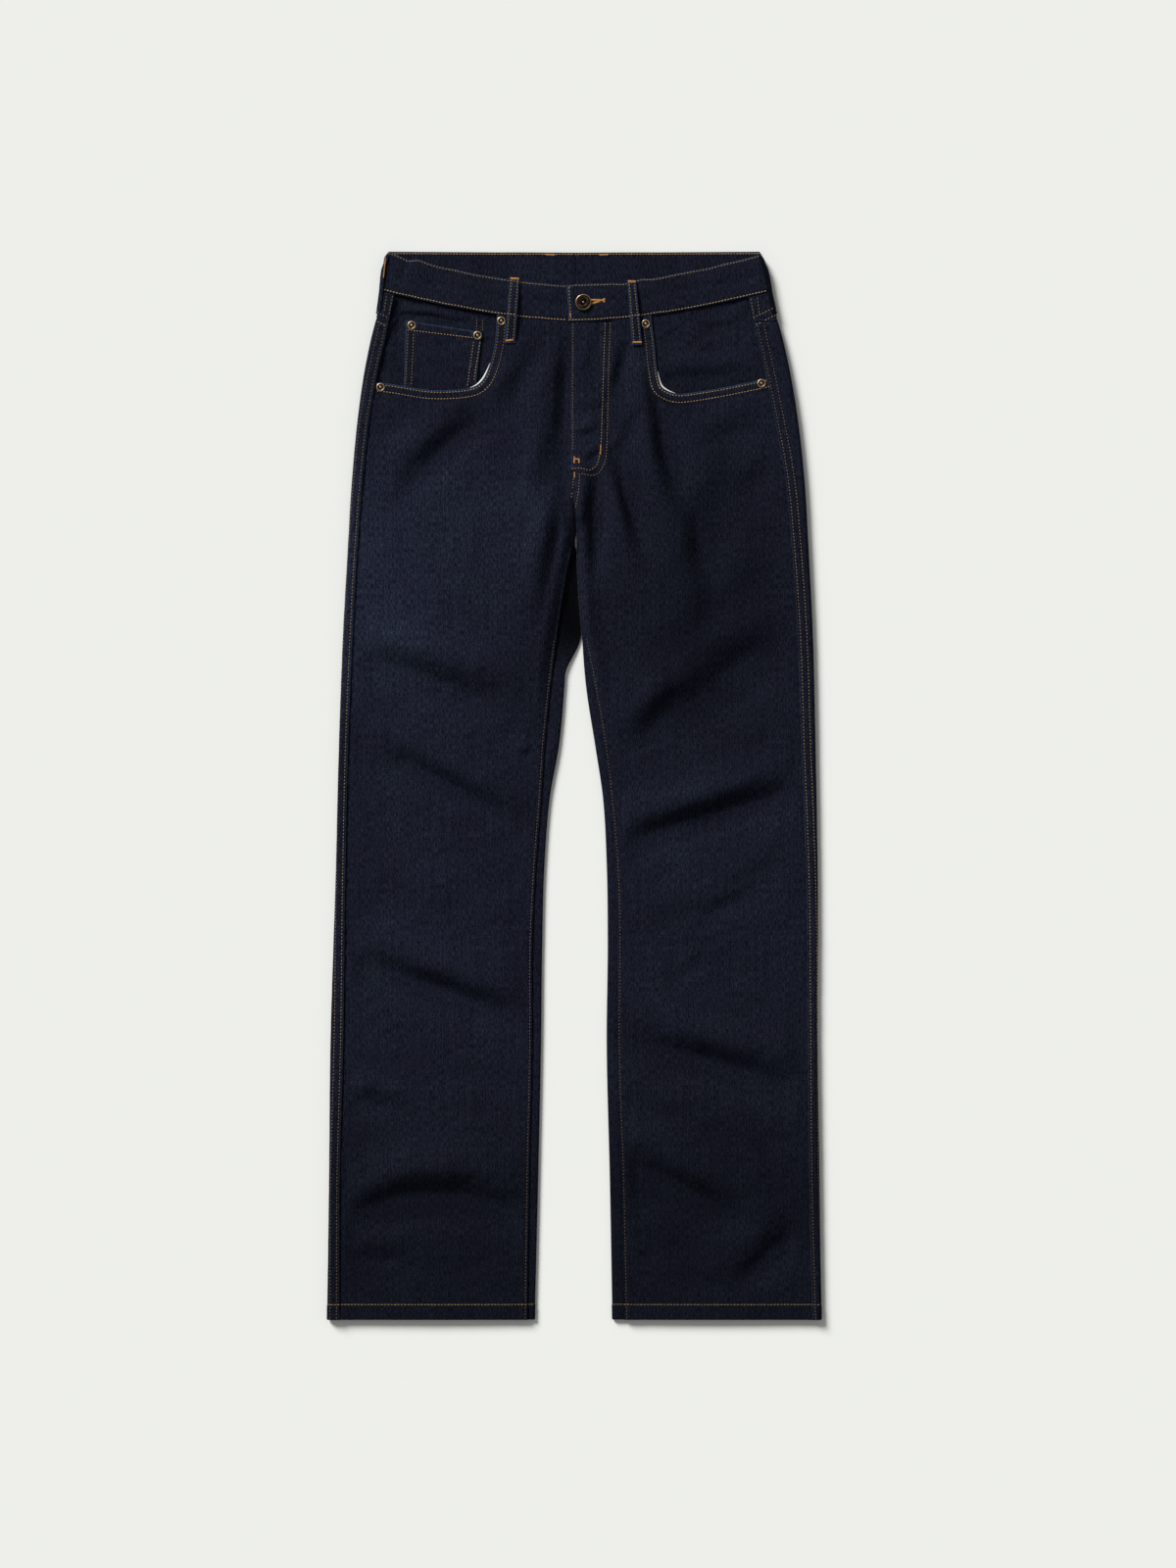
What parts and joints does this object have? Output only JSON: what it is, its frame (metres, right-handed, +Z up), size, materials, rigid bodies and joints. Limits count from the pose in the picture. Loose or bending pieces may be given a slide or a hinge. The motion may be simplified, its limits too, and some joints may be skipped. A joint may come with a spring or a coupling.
{
  "type": "bootcut jeans",
  "caption": "Dark denim bootcut jeans laid flat face up: low dipped waistband with belt loops and shank button, coin pocket, riveted front pockets, back yokes and patch pockets.",
  "frame": {"origin": "on the surface the jeans lie on, under the middle of their outline", "axes": "+Z up out of the surface, +Y from the hems to the waist, +X towards the wearer's left"},
  "size_m": [0.504, 1.089, 0.0127],
  "materials": {
    "denim": "dark indigo cotton denim, warp-faced twill, matt",
    "pocketing": "undyed cotton pocketing, plain weave, matt",
    "antique_brass": "antiqued brass, satin"
  },
  "bodies": {
    "root": {"front_right": "denim", "front_left": "denim", "back_right": "denim", "back_left": "denim", "yoke_right": "denim", "yoke_left": "denim", "waistband_right": "denim", "waistband_left": "denim", "pocket_facing_right": "denim", "pocket_facing_left": "denim", "coin_pocket": "denim", "pocket_bag_right": "pocketing", "pocket_bag_left": "pocketing", "back_pocket_right": "denim", "back_pocket_left": "denim", "belt_loop_front_right": "denim", "belt_loop_front_left": "denim", "belt_loop_side_right": "denim", "belt_loop_side_left": "denim", "belt_loop_back_right": "denim", "belt_loop_back_left": "denim", "rivet_coin_outer": "antique_brass", "rivet_coin_inner": "antique_brass", "rivet_inner_right": "antique_brass", "rivet_outer_right": "antique_brass", "rivet_inner_left": "antique_brass", "rivet_outer_left": "antique_brass", "button": "antique_brass"}
  },
  "joints": []
}
